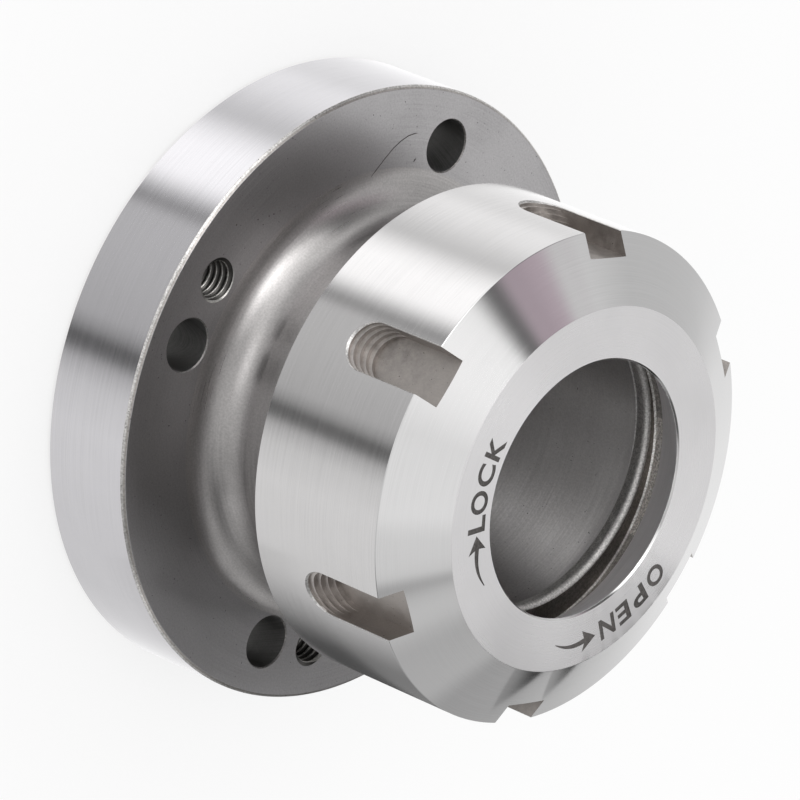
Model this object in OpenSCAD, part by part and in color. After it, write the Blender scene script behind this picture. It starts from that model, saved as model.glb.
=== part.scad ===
// Collet chuck with a mounting flange and a slotted clamping nut.
// Millimetres. Z is the turning axis, the back face lies on z = 0 and the nut is on top.

/* [Flange] */
// Outer diameter of the flange
flange_d = 80; // [78:0.5:110]
// Thickness of the flange, from its back face to its front face
flange_t = 13.5; // [10:0.5:20]
// Chamfer round the front rim
front_chamfer = 0.6; // [0.2:0.1:1.2]
// Chamfer round the back rim
back_chamfer = 0.5; // [0.2:0.1:1.2]
// Distance from the fixing holes' centres in to the register recess in the back face
register_wall = 5.5; // [5:0.25:8]
// Depth of the register recess
register_depth = 3.5; // [2:0.25:5]

/* [Fixing holes] */
// Distance from the flange's rim in to the fixing holes' centres
hole_edge = 7; // [5.5:0.25:7.5]
// Diameter of the plain through holes
plain_hole_d = 6.8; // [5:0.1:7.5]
// Number of plain through holes
plain_hole_count = 4; // [3:1:4]
// Place of the first plain hole, in degrees
plain_hole_angle = 45; // [43:1:48]
// Thread size of the tapped holes, which is also the width of their mouths
tapped_hole_d = 6; // [4:0.5:6.5]
// Number of tapped holes
tapped_hole_count = 3; // [2:1:3]
// Place of the first tapped hole, in degrees
tapped_hole_angle = 30; // [27:1:32]
// Chamfer at both mouths of every plain hole
hole_chamfer = 0.15; // [0.05:0.05:0.4]

/* [Nose] */
// Diameter of the plain neck between the flange and the thread
neck_d = 48.4; // [46:0.1:48.8]
// Radius of the cove between the flange face and the neck
cove_r = 5.3; // [2:0.1:8]
// Height of the nose's front face above the flange face
nose_len = 29.2; // [28:0.1:34]
// Pitch diameter of the nose thread, which the plain cylinder stands for
thread_d = 49; // [48.9:0.05:49.6]
// Length of the thread, back from the nose's front face
thread_len = 15.5; // [12:0.5:18]
// Chamfer at the front end of the thread
thread_chamfer = 0.8; // [0.3:0.1:1.2]

/* [Collet seat] */
// Diameter of the collet taper at the nose's front face
taper_mouth_d = 40.6; // [38:0.1:42]
// Half angle of the collet taper, in degrees
taper_half_angle = 8; // [6:0.5:9]
// Length of the collet taper along the axis
taper_len = 34; // [24:0.5:36]
// Chamfer at the mouth of the taper
taper_chamfer = 0.4; // [0.1:0.1:0.8]
// Diameter of the through bore behind the taper
through_d = 30; // [20:0.5:30.5]

/* [Clamping nut] */
// Outer diameter of the nut
nut_d = 63; // [58:0.5:70]
// Length of the nut
nut_len = 25.5; // [24:0.5:30]
// Chamfer round the back rim of the nut
nut_back_chamfer = 0.3; // [0.1:0.1:0.8]
// Outer diameter of the flat front face
nut_face_d = 46.6; // [42:0.2:50]
// Angle between the bevel and the front face, in degrees
bevel_angle = 30; // [20:1:40]
// Radial clearance between the nut and the nose thread
thread_clearance = 0.04; // [0.02:0.01:0.09]
// Depth of the relief behind the ring, outside the nut's thread bore
relief_depth = 0.8; // [0.3:0.1:1.5]
// Width of the relief along the axis
relief_w = 2; // [1:0.1:3]
// Gap between the ring's back face and the nose's front face
seat_gap = 0.5; // [0.2:0.1:1.5]

/* [Nut mouth] */
// Diameter of the mouth in the front face
mouth_d = 33; // [30:0.2:34]
// Chamfer at the mouth
mouth_chamfer = 0.4; // [0.1:0.1:0.8]
// Half angle of the cone that presses on the collet, in degrees
press_half_angle = 30; // [25:1:35]
// Diameter at the inner end of the pressing cone
press_end_d = 38.5; // [36:0.1:39.5]
// Diameter of the groove between the pressing cone and the ring
groove_d = 41.8; // [41:0.1:43]
// Width of the groove along the axis
groove_w = 2.4; // [1.5:0.1:3]
// Shift of the groove's centre off the axis
groove_shift = 0.7; // [0:0.1:0.8]
// Inner diameter of the eccentric ring at its front edge
ring_front_d = 36.4; // [35:0.1:37]
// Inner diameter of the eccentric ring at its back edge
ring_back_d = 38; // [37:0.1:39]
// Width of the ring along the axis
ring_w = 2.2; // [1.5:0.1:3]
// Shift of the ring's centre off the axis
ring_shift = 1; // [0:0.1:1.2]
// Direction of the ring's shift, in degrees
ring_shift_angle = -49; // [-180:1:180]

/* [Spanner slots] */
// Number of slots round the nut
slot_count = 6; // [4:1:8]
// Place of the first slot, in degrees
slot_angle = 30; // [0:1:60]
// Width of a slot
slot_w = 6.5; // [5:0.1:8]
// Depth of a slot's flat floor below the nut's outer surface
slot_depth = 3; // [2:0.1:3.5]
// Reach of a slot behind the nut's front face
slot_len = 17.5; // [14:0.5:20]
// Steps that the milling cutter left at a slot's closed end
terrace_count = 5; // [2:1:6]
// Distance along the axis from the first step to the floor
terrace_run = 2.5; // [1:0.1:4]

/* [Hidden] */
$fn = 96;
// Overrun that lets a cut pass cleanly through a face
cut = 1;
// Ground steel, as bright as each piece looks
body_colour = [0.56, 0.55, 0.54];
nut_colour = [0.70, 0.69, 0.68];

flange_r = flange_d / 2;
bolt_circle_r = flange_r - hole_edge;
register_r = bolt_circle_r - register_wall;
neck_r = neck_d / 2;
thread_r = thread_d / 2;
taper_mouth_r = taper_mouth_d / 2;
through_r = through_d / 2;
nut_r = nut_d / 2;
nut_face_r = nut_face_d / 2;
mouth_r = mouth_d / 2;
press_end_r = press_end_d / 2;
nut_thread_r = thread_r + thread_clearance;

// Heights of the body's steps
nose_z = flange_t + nose_len;
thread_z = nose_z - thread_len;
taper_z = nose_z - taper_len;

// Heights inside the nut, which stands on the nose by the gap behind its ring
ring_z = nose_z + seat_gap;
groove_z = ring_z + ring_w;
press_z = groove_z + groove_w;
press_depth = (press_end_r - mouth_r) / tan(press_half_angle);
nut_front_z = press_z + press_depth + mouth_chamfer;
nut_back_z = nut_front_z - nut_len;
bevel_z = nut_front_z - (nut_r - nut_face_r) * tan(bevel_angle);

// Copies its children round the axis, evenly spaced from a first angle.
module around(count, first_angle) {
  for (i = [0:count - 1])
    rotate([0, 0, first_angle + i * 360 / count]) children();
}

// One hole on the bolt circle, through the flange and any of the cove above it.
module flange_hole(d) {
  translate([bolt_circle_r, 0, -cut]) cylinder(d = d, h = flange_t + cove_r + 2 * cut);
}

// The chamfers at both mouths of a hole on the bolt circle.
module hole_chamfers(d) {
  r = d / 2;
  reach = hole_chamfer + cut;
  translate([bolt_circle_r, 0, -cut]) cylinder(r1 = r + reach, r2 = r, h = reach);
  translate([bolt_circle_r, 0, flange_t - hole_chamfer]) cylinder(r1 = r, r2 = r + reach, h = reach);
}

// Half section of the body's outside: flange, cove, neck and thread.
module body_outline() {
  polygon([
    [0, 0],
    [flange_r - back_chamfer, 0],
    [flange_r, back_chamfer],
    [flange_r, flange_t - front_chamfer],
    [flange_r - front_chamfer, flange_t],
    [0, flange_t],
  ]);
  difference() {
    square([neck_r + cove_r, flange_t + cove_r]);
    translate([neck_r + cove_r, flange_t + cove_r]) circle(r = cove_r);
  }
  polygon([
    [0, 0],
    [neck_r, 0],
    [neck_r, thread_z],
    [thread_r, thread_z + thread_r - neck_r],
    [thread_r, nose_z - thread_chamfer],
    [thread_r - thread_chamfer, nose_z],
    [0, nose_z],
  ]);
}

// Half section of the space inside the body: register, through bore and collet taper.
module body_hollow() {
  taper_slope = tan(taper_half_angle);
  polygon([
    [0, -cut],
    [register_r + back_chamfer + cut, -cut],
    [register_r, back_chamfer],
    [register_r, register_depth],
    [through_r, register_depth],
    [through_r, taper_z],
    [taper_mouth_r - taper_len * taper_slope, taper_z],
    [taper_mouth_r - taper_chamfer * taper_slope, nose_z - taper_chamfer],
    [taper_mouth_r + taper_chamfer + cut, nose_z + cut],
    [0, nose_z + cut],
  ]);
}

// Flange and nose, turned from one bar.
module chuck_body() {
  color(body_colour)
    difference() {
      rotate_extrude() difference() {
        body_outline();
        body_hollow();
      }
      around(plain_hole_count, plain_hole_angle) {
        flange_hole(plain_hole_d);
        hole_chamfers(plain_hole_d);
      }
      around(tapped_hole_count, tapped_hole_angle) flange_hole(tapped_hole_d);
    }
}

// Half section of the nut's outside, with its chamfered back rim and its bevel.
module nut_outline() {
  polygon([
    [0, nut_back_z],
    [nut_r - nut_back_chamfer, nut_back_z],
    [nut_r, nut_back_z + nut_back_chamfer],
    [nut_r, bevel_z],
    [nut_face_r, nut_front_z],
    [0, nut_front_z],
  ]);
}

// Half section of the bore behind the ring: lead-in, thread bore and relief.
module nut_thread_hollow() {
  relief_r = nut_thread_r + relief_depth;
  polygon([
    [0, nut_back_z - cut],
    [relief_r + cut, nut_back_z - cut],
    [nut_thread_r, nut_back_z + relief_depth],
    [nut_thread_r, ring_z - relief_w - relief_depth],
    [relief_r, ring_z - relief_w],
    [relief_r, ring_z],
    [0, ring_z],
  ]);
}

// Half section of the mouth: chamfer and pressing cone.
module nut_mouth_hollow() {
  polygon([
    [0, press_z - cut],
    [press_end_r, press_z - cut],
    [press_end_r, press_z],
    [mouth_r, press_z + press_depth],
    [mouth_r + mouth_chamfer + cut, nut_front_z + cut],
    [0, nut_front_z + cut],
  ]);
}

// The ring's inner edge and the groove in front of it, each turned off centre to its own side.
module extraction_ring_hollow() {
  // The inner edge is a cone, which runs on past both faces of the ring at the same slope
  overrun = cut * (ring_back_d - ring_front_d) / ring_w;
  rotate([0, 0, ring_shift_angle]) {
    translate([ring_shift, 0, ring_z - cut])
      cylinder(d1 = ring_back_d + overrun, d2 = ring_front_d - overrun, h = ring_w + 2 * cut);
    translate([-groove_shift, 0, groove_z]) cylinder(d = groove_d, h = groove_w);
  }
}

// One spanner slot: a round-ended milled channel whose closed end climbs out in steps.
module spanner_slot() {
  step_depth = slot_depth / terrace_count;
  step_run = terrace_run / (terrace_count - 1);
  for (i = [0:terrace_count - 1]) {
    floor_r = nut_r - (i + 1) * step_depth;
    end_z = nut_front_z - slot_len + i * step_run + slot_w / 2;
    translate([floor_r, 0, end_z])
      rotate([0, 90, 0]) cylinder(d = slot_w, h = nut_r - floor_r + cut);
    translate([floor_r, -slot_w / 2, end_z])
      cube([nut_r - floor_r + cut, slot_w, nut_front_z - end_z + cut]);
  }
}

// Clamping nut, with its ring and slots, made from one bar.
module clamping_nut() {
  color(nut_colour)
    difference() {
      rotate_extrude() difference() {
        nut_outline();
        nut_thread_hollow();
        nut_mouth_hollow();
      }
      extraction_ring_hollow();
      around(slot_count, slot_angle) spanner_slot();
    }
}

chuck_body();
clamping_nut();
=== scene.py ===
"""Collet chuck: turned and cut meshes, steel finishes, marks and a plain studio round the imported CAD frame.

Sizes are named in millimetres and pass through MM. Angles are named in degrees. The turning axis is Z,
with the flange's back face on z = 0 and the clamping nut on top.
"""

import logging
import math
from dataclasses import dataclass
from enum import Enum
from typing import Callable, Iterable, Sequence

import bpy
from mathutils import Euler, Matrix, Vector


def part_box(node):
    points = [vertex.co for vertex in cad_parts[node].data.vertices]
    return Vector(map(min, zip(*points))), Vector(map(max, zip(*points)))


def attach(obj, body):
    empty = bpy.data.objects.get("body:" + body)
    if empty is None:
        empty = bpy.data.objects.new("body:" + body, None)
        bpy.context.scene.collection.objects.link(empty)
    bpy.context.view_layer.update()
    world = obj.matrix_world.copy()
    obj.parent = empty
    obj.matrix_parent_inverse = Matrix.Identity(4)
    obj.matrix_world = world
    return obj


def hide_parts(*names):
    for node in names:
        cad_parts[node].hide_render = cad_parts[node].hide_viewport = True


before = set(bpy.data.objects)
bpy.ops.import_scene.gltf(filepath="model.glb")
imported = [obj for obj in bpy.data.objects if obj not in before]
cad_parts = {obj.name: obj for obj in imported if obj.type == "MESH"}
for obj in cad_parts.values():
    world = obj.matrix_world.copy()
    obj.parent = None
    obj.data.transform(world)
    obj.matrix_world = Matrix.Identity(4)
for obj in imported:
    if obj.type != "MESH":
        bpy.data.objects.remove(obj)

LOG = logging.getLogger("collet_chuck")
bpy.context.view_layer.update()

MM = 0.001
FULL_TURN = 2 * math.pi
MERGE = 0.002 * MM
POINT = 0.0005 * MM
SMOOTH_ANGLE = 28
# Share of a face's normal that lies along an axis: below UPRIGHT the face runs along the axis,
# and above FLAT it lies square to it.
UPRIGHT = 0.1
FLAT = 0.9


def polar(radius: float, degrees: float) -> Vector:
    """A point of the XY plane, in the units of radius."""
    angle = math.radians(degrees)
    return Vector((radius * math.cos(angle), radius * math.sin(angle), 0.0))


class Lay(Enum):
    """The way that tool marks run on a surface."""

    ROUND = "round the axis"
    EVEN = "no direction"


@dataclass(frozen=True)
class Steel:
    """One steel finish.

    Attributes:
        name: The material's name.
        colour: Reflected colour, linear.
        rough: Mean roughness.
        lay: The way that the tool marks run.
        stretch: Anisotropy across the tool marks.
        grain: How far the tool marks change the roughness.
        marks: Tool marks for each millimetre.
        depth: Height of the tool marks, in millimetres.
        cloud: How far broad clouds darken the colour.
        pits: Share of the surface that small dark pits take.
        sparkle: Height of the fine even grain, in millimetres.
        speckle: How far the fine even grain changes the colour.
    """

    name: str
    colour: tuple[float, float, float]
    rough: float
    lay: Lay = Lay.ROUND
    stretch: float = 0.0
    grain: float = 0.08
    marks: float = 6.0
    depth: float = 0.0001
    cloud: float = 0.08
    pits: float = 0.0
    sparkle: float = 0.0
    speckle: float = 0.0


GROUND_RIM = Steel("ground_rim", (0.65, 0.64, 0.66), 0.15, stretch=0.85, grain=0.06, cloud=0.05)
GROUND_NUT = Steel("ground_nut", (0.67, 0.66, 0.66), 0.15, stretch=0.85, grain=0.06, cloud=0.05)
GROUND_BEVEL = Steel("ground_bevel", (0.68, 0.675, 0.675), 0.09, stretch=0.6, grain=0.05, cloud=0.04)
GROUND_FACE = Steel("ground_face", (0.68, 0.67, 0.675), 0.28, stretch=0.9, grain=0.05, cloud=0.05)
SATIN_FACE = Steel("satin_face", (0.41, 0.40, 0.405), 0.30, grain=0.02, marks=3.0, depth=0.0, cloud=0.16,
                   pits=0.003, speckle=0.12)
SATIN_COVE = Steel("satin_cove", (0.45, 0.435, 0.43), 0.29, stretch=0.4, marks=3.0, depth=0.0003, cloud=0.18,
                   sparkle=0.001, speckle=0.14)
SATIN_NECK = Steel("satin_neck", (0.45, 0.435, 0.43), 0.40, marks=3.0, depth=0.0003, cloud=0.18, speckle=0.14)
RIM_LINE = Steel("rim_line", (0.68, 0.665, 0.65), 0.30, cloud=0.30, pits=0.10, sparkle=0.004, speckle=0.45)
WORN_EDGE = Steel("worn_edge", (0.46, 0.435, 0.415), 0.34, cloud=0.30, pits=0.08, sparkle=0.003, speckle=0.30)
HOLE_RIM = Steel("hole_rim", (0.27, 0.26, 0.255), 0.42, cloud=0.50, speckle=0.50)
GROUND_TAPER = Steel("ground_taper", (0.60, 0.585, 0.58), 0.40, stretch=0.95, marks=4.0, cloud=0.12,
                     pits=0.003, sparkle=0.008, speckle=0.10)
PRESS_CONE = Steel("press_cone", (0.96, 0.94, 0.95), 0.55, cloud=0.12)
# Painted shade: the groove's front wall and the ring's front face in the nut take a dark colour for the shade
# in the recess.
GROOVE_PAINTED_SHADE = Steel("groove_painted_shade", (0.24, 0.22, 0.205), 0.36, grain=0.20, marks=5.0, depth=0.001,
                     cloud=0.45, speckle=0.35)
# Painted highlights in the nut's groove: a bright wall colour and a bright line in its back corner, for light
# falling there. The duller wall colour is the same scored wall outside them.
SCORED_WALL_HIGHLIGHT = Steel("scored_wall_highlight", (0.76, 0.73, 0.70), 0.55, grain=0.60, marks=7.0, depth=0.004,
                    cloud=0.45, speckle=0.45)
DULL_WALL = Steel("dull_wall", (0.50, 0.48, 0.46), 0.50, grain=0.60, marks=7.0, depth=0.004,
                  cloud=0.45, speckle=0.45)
CORNER_HIGHLIGHT = Steel("corner_highlight", (0.80, 0.78, 0.75), 0.30, cloud=0.55, speckle=0.60)
RING_EDGE = Steel("ring_edge", (0.62, 0.61, 0.595), 0.50, cloud=0.25, sparkle=0.006, speckle=0.40)
GROUND_BACK = Steel("ground_back", (0.60, 0.59, 0.58), 0.26, stretch=0.6, grain=0.10, cloud=0.10)
TURNED_INSIDE = Steel("turned_inside", (0.42, 0.41, 0.39), 0.32, grain=0.12, marks=3.0, depth=0.0003,
                      cloud=0.15)
BROKEN_EDGE = Steel("broken_edge", (0.62, 0.61, 0.60), 0.38, cloud=0.30, speckle=0.45)
DRILLED = Steel("drilled_wall", (0.24, 0.237, 0.233), 0.42, grain=0.15, marks=4.0, depth=0.0006, cloud=0.45,
                speckle=0.08)
THREAD_CREST = Steel("thread_crest", (0.60, 0.59, 0.565), 0.34, cloud=0.50, speckle=0.40)
# Painted shade: the thread's flanks in the tapped holes take a nearly black colour for the shade deep in the
# thread.
THREAD_FLANK_SHADE = Steel("thread_flank_shade", (0.09, 0.087, 0.083), 0.34, lay=Lay.EVEN, cloud=0.30)
MILLED = Steel("milled_slot", (0.42, 0.39, 0.37), 0.38, lay=Lay.EVEN, grain=0.15, marks=1.5, cloud=0.30,
               pits=0.01, speckle=0.07)
MILLED_STEP = Steel("milled_step", (0.56, 0.53, 0.51), 0.42, lay=Lay.EVEN, grain=0.15, marks=1.5, cloud=0.25,
                    speckle=0.10)
ETCHED = Steel("etched_mark", (0.17, 0.16, 0.155), 0.55, lay=Lay.EVEN, cloud=0.35, sparkle=0.002,
               speckle=0.30)


class Tree:
    """Short calls for building one node tree."""

    MIX_FACTOR, MIX_FIRST, MIX_SECOND, MIX_RESULT = 0, 6, 7, 2

    def __init__(self, tree: bpy.types.NodeTree) -> None:
        """Keeps the tree and clears it."""
        self.tree = tree
        tree.nodes.clear()

    def add(self, kind: str, **values: object) -> bpy.types.Node:
        """Adds a node and sets its own properties.

        Args:
            kind: The node's type, without its ShaderNode prefix.
            **values: Properties of the node.

        Returns:
            The new node.
        """
        node = self.tree.nodes.new("ShaderNode" + kind)
        for key, value in values.items():
            setattr(node, key, value)
        return node

    def plug(self, value: object, socket: bpy.types.NodeSocket) -> None:
        """Links an output to a socket, or sets the socket to a plain value."""
        if isinstance(value, bpy.types.NodeSocket):
            self.tree.links.new(value, socket)
        else:
            socket.default_value = value

    def maths(self, operation: str, *values: object, clamp: bool = False) -> bpy.types.NodeSocket:
        """A Math node on sockets or numbers.

        Args:
            operation: The node's operation.
            *values: Its inputs in order.
            clamp: Whether the result is kept between 0 and 1.

        Returns:
            The result's socket.
        """
        node = self.add("Math", operation=operation, use_clamp=clamp)
        for value, socket in zip(values, node.inputs):
            self.plug(value, socket)
        return node.outputs[0]

    def vector(self, operation: str, *values: object, output: int = 0) -> bpy.types.NodeSocket:
        """A Vector Math node on sockets or vectors.

        Args:
            operation: The node's operation.
            *values: Its inputs in order.
            output: Which output to return.

        Returns:
            The result's socket.
        """
        node = self.add("VectorMath", operation=operation)
        for value, socket in zip(values, node.inputs):
            self.plug(value, socket)
        return node.outputs[output]

    def ramp(self, value: object, low: float, high: float, start: float = 0.0, end: float = 1.0,
             smooth: bool = True) -> bpy.types.NodeSocket:
        """A Map Range node from low..high to start..end.

        Args:
            value: The input.
            low: Input that gives start.
            high: Input that gives end.
            start: Output at low.
            end: Output at high.
            smooth: Whether the step eases in and out.

        Returns:
            The result's socket.
        """
        node = self.add("MapRange", interpolation_type="SMOOTHSTEP" if smooth else "LINEAR")
        inputs = {"Value": value, "From Min": low, "From Max": high, "To Min": start, "To Max": end}
        for name, number in inputs.items():
            self.plug(number, node.inputs[name])
        return node.outputs["Result"]

    def noise(self, place: object, scale: float, detail: float = 2.0,
              rough: float = 0.5) -> bpy.types.NodeSocket:
        """A Noise texture's value at a place.

        Args:
            place: The coordinates.
            scale: Features for each unit of the coordinates.
            detail: Number of finer octaves.
            rough: Weight of the finer octaves.

        Returns:
            The value's socket.
        """
        node = self.add("TexNoise", noise_dimensions="3D")
        self.plug(place, node.inputs["Vector"])
        node.inputs["Scale"].default_value = scale
        node.inputs["Detail"].default_value = detail
        node.inputs["Roughness"].default_value = rough
        return node.outputs[0]

    def mix(self, factor: object, first: object, second: object, blend: str = "MIX") -> bpy.types.NodeSocket:
        """A colour Mix node.

        Args:
            factor: Share of the second colour.
            first: First colour.
            second: Second colour.
            blend: The blend mode.

        Returns:
            The colour's socket.
        """
        node = self.add("Mix", data_type="RGBA", blend_type=blend)
        self.plug(factor, node.inputs[self.MIX_FACTOR])
        self.plug(first, node.inputs[self.MIX_FIRST])
        self.plug(second, node.inputs[self.MIX_SECOND])
        return node.outputs[self.MIX_RESULT]


def rgba(colour: Sequence[float], level: float = 1.0) -> tuple[float, float, float, float]:
    """A colour with full alpha, scaled by a level."""
    return (colour[0] * level, colour[1] * level, colour[2] * level, 1.0)


class Finishes:
    """Makes each steel finish once and hands it out by name.

    The ranges are the noise values between which a feature fades in.
    """

    CLOUD_SCALE = 0.09 / MM
    CLOUD_RANGE = (0.35, 0.68)
    SPECK_SCALE = 3.0 / MM
    PIT_RANGE = (0.74, 0.80)
    PIT_SPREAD = 0.6
    PIT_COLOUR = 0.35
    PIT_ROUGH = 0.25
    GRIT_SCALE = 4.0 / MM
    GRIT_RANGE = (0.35, 0.65)
    GRIT_LEVELS = (0.35, 1.65)
    EVEN_SCALE = 0.5
    ROUND_WANDER = 2.0
    SLOPE_SHARE = 2.5
    LINE_RANGE = (0.25, 0.75)
    LINE_TINT_RANGE = (0.3, 0.7)
    LINE_TINT = 0.4
    QUARTER_TURN = 0.25

    def __init__(self) -> None:
        """Starts with no materials."""
        self.made: dict[str, bpy.types.Material] = {}

    def of(self, steel: Steel) -> bpy.types.Material:
        """The material of a finish.

        Args:
            steel: The finish.

        Returns:
            Its material, made on first use.
        """
        if steel.name not in self.made:
            self.made[steel.name] = self.build(steel)
        return self.made[steel.name]

    def tool_marks(self, tree: Tree, place: bpy.types.NodeSocket, steel: Steel) -> bpy.types.NodeSocket:
        """Fine lines that the tool left, from 0 to 1.

        Args:
            tree: The material's tree.
            place: Object coordinates.
            steel: The finish.

        Returns:
            The height's socket.
        """
        per_metre = steel.marks / MM
        if steel.lay is Lay.EVEN:
            return tree.noise(place, per_metre * self.EVEN_SCALE, detail=3.0, rough=0.6)
        flat = tree.vector("MULTIPLY", place, (1.0, 1.0, 0.0))
        radius = tree.vector("LENGTH", flat, output=1)
        slope = tree.maths("MULTIPLY", radius, self.SLOPE_SHARE)
        split = tree.add("SeparateXYZ")
        tree.plug(place, split.inputs[0])
        across = tree.maths("MULTIPLY", tree.maths("ADD", split.outputs[2], slope), per_metre)
        wander = tree.vector("SCALE", tree.vector("NORMALIZE", flat))
        wander.node.inputs["Scale"].default_value = self.ROUND_WANDER
        lift = tree.add("CombineXYZ")
        tree.plug(across, lift.inputs[2])
        return tree.noise(tree.vector("ADD", wander, lift.outputs[0]), 1.0, detail=2.0, rough=0.65)

    def build(self, steel: Steel) -> bpy.types.Material:
        """Builds one finish's material.

        Args:
            steel: The finish.

        Returns:
            The new material.
        """
        material = bpy.data.materials.new(steel.name)
        material.use_nodes = True
        tree = Tree(material.node_tree)
        place = tree.add("TexCoord").outputs["Object"]
        lines = self.tool_marks(tree, place, steel)
        clouds = tree.noise(place, self.CLOUD_SCALE, detail=4.0, rough=0.6)
        specks = tree.noise(place, self.SPECK_SCALE, detail=1.0)

        shade = tree.ramp(clouds, *self.CLOUD_RANGE)
        colour = tree.mix(shade, rgba(steel.colour), rgba(steel.colour, 1.0 - steel.cloud))
        bright = rgba(steel.colour, 1.0 + steel.grain * self.LINE_TINT)
        colour = tree.mix(tree.ramp(lines, *self.LINE_TINT_RANGE), colour, bright)
        fine, coarse = steel.rough * (1 - steel.grain), steel.rough * (1 + steel.grain)
        rough = tree.ramp(lines, *self.LINE_RANGE, fine, coarse)
        rough = tree.maths("MULTIPLY_ADD", shade, steel.rough * steel.cloud, rough)
        if steel.pits:
            start, end = (limit - steel.pits * self.PIT_SPREAD for limit in self.PIT_RANGE)
            pit = tree.ramp(specks, start, end)
            colour = tree.mix(pit, colour, rgba(steel.colour, self.PIT_COLOUR))
            rough = tree.maths("MULTIPLY_ADD", pit, self.PIT_ROUGH, rough)
        height = tree.maths("MULTIPLY", lines, steel.depth * MM)
        if steel.sparkle or steel.speckle:
            grit = tree.noise(place, self.GRIT_SCALE, detail=2.0, rough=0.6)
            height = tree.maths("MULTIPLY_ADD", grit, steel.sparkle * MM, height)
            grey = tree.ramp(grit, *self.GRIT_RANGE, *self.GRIT_LEVELS, smooth=False)
            colour = tree.mix(steel.speckle, colour, grey, "MULTIPLY")

        shader = tree.add("BsdfPrincipled")
        tree.plug(colour, shader.inputs["Base Color"])
        tree.plug(rough, shader.inputs["Roughness"])
        shader.inputs["Metallic"].default_value = 1.0
        if steel.stretch:
            shader.inputs["Anisotropic"].default_value = steel.stretch
            shader.inputs["Anisotropic Rotation"].default_value = self.QUARTER_TURN
            tree.plug(tree.vector("CROSS_PRODUCT", (0.0, 0.0, 1.0), place), shader.inputs["Tangent"])
        bump = tree.add("Bump")
        bump.inputs["Strength"].default_value = 1.0
        bump.inputs["Distance"].default_value = 1.0
        tree.plug(height, bump.inputs["Height"])
        tree.plug(bump.outputs[0], shader.inputs["Normal"])
        output = tree.add("OutputMaterial")
        tree.plug(shader.outputs[0], output.inputs["Surface"])
        return material


@dataclass(frozen=True)
class Corner:
    """One corner of a turned outline, in millimetres.

    Attributes:
        r: Distance from the axis.
        z: Height.
        skin: Finish of the surface from this corner on to the next.
        ease: Radius that rounds the corner, 0 for a sharp one.
        shift: How far the turned edge's centre lies off the axis.
    """

    r: float
    z: float
    skin: Steel
    ease: float = 0.0
    shift: float = 0.0


@dataclass
class Outline:
    """A closed half section that is turned round the axis.

    Attributes:
        corners: The corners in order.
        shift_angle: Direction in which shifted edges lie off centre, in degrees.
    """

    FINE_STEP = 16.0
    BROAD_STEP = 4.5
    BROAD_FROM = 1.0

    corners: Sequence[Corner]
    shift_angle: float = 0.0

    def eased(self, index: int) -> list[Vector]:
        """The points that one corner becomes.

        Args:
            index: The corner's place in the outline.

        Returns:
            One point, or the points of the arc that rounds the corner.
        """
        corner = self.corners[index]
        here = Vector((corner.r, corner.z))
        if not corner.ease:
            return [here]
        before = self.corners[index - 1]
        after = self.corners[(index + 1) % len(self.corners)]
        back = (Vector((before.r, before.z)) - here).normalized()
        ahead = (Vector((after.r, after.z)) - here).normalized()
        half = back.angle(ahead) / 2
        centre = here + (back + ahead).normalized() * (corner.ease / math.sin(half))
        start = here + back * (corner.ease / math.tan(half)) - centre
        sweep = math.pi - 2 * half
        sign = math.copysign(1.0, start.x * (here - centre).y - start.y * (here - centre).x)
        step = self.BROAD_STEP if corner.ease > self.BROAD_FROM else self.FINE_STEP
        count = max(2, round(math.degrees(sweep) / step))
        return [centre + Matrix.Rotation(sign * sweep * i / count, 2) @ start for i in range(count + 1)]

    def runs(self) -> Iterable[tuple[Steel, list[Vector]]]:
        """The outline cut where its finish changes.

        Yields:
            A finish and the points of its stretch.
        """
        skin, run = self.corners[-1].skin, [self.eased(len(self.corners) - 1)[-1]]
        for index, corner in enumerate(self.corners):
            points = self.eased(index)
            run.append(points[0])
            if corner.skin is not skin:
                yield skin, run
                skin, run = corner.skin, [points[0]]
            run.extend(points[1:])
        yield skin, run

    def shifted(self) -> dict[float, list[Vector]]:
        """The points of the edges that lie off centre, by their shift in millimetres."""
        found: dict[float, list[Vector]] = {}
        for index, corner in enumerate(self.corners):
            if corner.shift:
                found.setdefault(corner.shift, []).extend(self.eased(index))
        return found


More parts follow.
